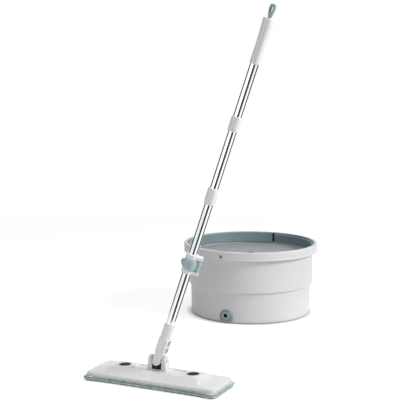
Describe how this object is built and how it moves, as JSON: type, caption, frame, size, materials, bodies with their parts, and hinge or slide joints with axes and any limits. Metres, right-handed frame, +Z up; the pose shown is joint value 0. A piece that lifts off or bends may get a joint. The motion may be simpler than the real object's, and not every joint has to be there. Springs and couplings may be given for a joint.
{
  "type": "spin mop with bucket",
  "caption": "Flat rectangular mop on a leaning telescopic spin pole, beside a round bucket with a spin tray, folding bail handle and drain plug.",
  "frame": {"origin": "on the floor, at the middle of the bucket's flat base", "axes": "+Z up; +X along the mop head's long side, towards which the pole leans; +Y from the mop to the bucket"},
  "size_m": [0.5968, 1.0709, 0.9003],
  "materials": {
    "bucket_plastic": "satin moulded",
    "teal_plastic": "satin moulded",
    "tray_plastic": "satin moulded",
    "pole_plastic": "semi-gloss",
    "plate_plastic": "semi-gloss",
    "nylon": "plain",
    "tube_chrome": "polished",
    "steel": "zinc plated",
    "black_rubber": "matt",
    "microfibre": "looped pile",
    "hook_tape": "hook tape"
  },
  "bodies": {
    "bucket": {"bucket_shell": "bucket_plastic", "rim_liner": "teal_plastic", "bail_pins": "steel", "centre_column": "bucket_plastic", "column_screws": "steel", "spindle": "steel", "drain_collar": "teal_plastic", "drain_nut": "teal_plastic"},
    "bail": {"bail_handle": "teal_plastic"},
    "tray_carrier": {"tray_sleeve": "nylon", "tray_bearings": "steel", "bearing_spacer": "nylon", "tray_circlip": "steel"},
    "tray": {"spin_tray": "tray_plastic", "hub_cap": "black_rubber"},
    "plug": {"drain_plug": "teal_plastic", "drain_seal": "black_rubber"},
    "mop_head": {"mop_pad": "microfibre", "hook_sheet": "hook_tape", "head_plate": "plate_plastic", "base_plate": "plate_plastic", "cover_discs": "black_rubber", "disc_screws": "steel", "pivot_bracket": "pole_plastic", "bracket_screws": "steel", "knuckle_pin": "steel"},
    "knuckle": {"knuckle": "pole_plastic"},
    "socket": {"socket": "pole_plastic", "twist_rod": "steel", "rod_pin": "steel", "thrust_washer": "nylon", "rod_stops": "steel"},
    "lower_pole": {"lower_tube": "tube_chrome", "tube_bush": "nylon", "clamp_collar": "pole_plastic", "lever_pin": "steel"},
    "lever": {"clamp_lever": "teal_plastic"},
    "upper_pole": {"nut_housing": "nylon", "drive_nut": "nylon", "clutch_rollers": "steel", "upper_tube_1": "tube_chrome", "connector_1": "pole_plastic", "upper_tube_2": "tube_chrome", "connector_2": "pole_plastic", "upper_tube_3": "tube_chrome", "grip": "pole_plastic", "end_plug": "pole_plastic"},
    "hook": {"hook": "teal_plastic"}
  },
  "joints": [
    {"name": "bail_hinge", "type": "hinge", "parent": "bucket", "child": "bail", "pos_m": [-0.009, 0, 0.206], "axis": [0, 1, 0], "range_deg": [0, 92]},
    {"name": "tray_lift", "type": "slide", "parent": "bucket", "child": "tray_carrier", "axis": [0, 0, 1], "range_m": [0, 0.26]},
    {"name": "tray_spin", "type": "hinge", "parent": "tray_carrier", "child": "tray", "pos_m": [0, 0, 0.17], "axis": [0, 0, 1], "continuous": true},
    {"name": "plug_pull", "type": "slide", "parent": "bucket", "child": "plug", "axis": [0, -1, 0], "range_m": [0, 0.03]},
    {"name": "mop_lift", "type": "slide", "parent": "bucket", "child": "mop_head", "axis": [0, 0, 1], "range_m": [0, 0.35]},
    {"name": "fore_aft_tilt", "type": "hinge", "parent": "mop_head", "child": "knuckle", "pos_m": [0.0895, -0.794, 0.056], "axis": [1, 0, 0], "range_deg": [-65, 80]},
    {"name": "side_tilt", "type": "hinge", "parent": "knuckle", "child": "socket", "pos_m": [0.0895, -0.794, 0.056], "axis": [0, 1, 0], "range_deg": [-38.2, 0]},
    {"name": "head_spin", "type": "hinge", "parent": "socket", "child": "lower_pole", "pos_m": [0.0895, -0.794, 0.056], "axis": [0.3272, 0, 0.9449], "range_deg": [0, 420.5]},
    {"name": "pole_slide", "type": "slide", "parent": "lower_pole", "child": "upper_pole", "axis": [0.3272, 0, 0.9449], "range_m": [0, 0.14]},
    {"name": "lever_hinge", "type": "hinge", "parent": "lower_pole", "child": "lever", "pos_m": [0.19553, -0.79095, 0.29655], "axis": [0.3272, 0, 0.9449], "range_deg": [0, 110]},
    {"name": "hook_swivel", "type": "hinge", "parent": "upper_pole", "child": "hook", "pos_m": [0.37123, -0.794, 0.8696], "axis": [0.3272, 0, 0.9449], "continuous": true}
  ],
  "couplings": [
    {"joint": "head_spin", "follows": "pole_slide", "rad_per_m": 52.36}
  ]
}
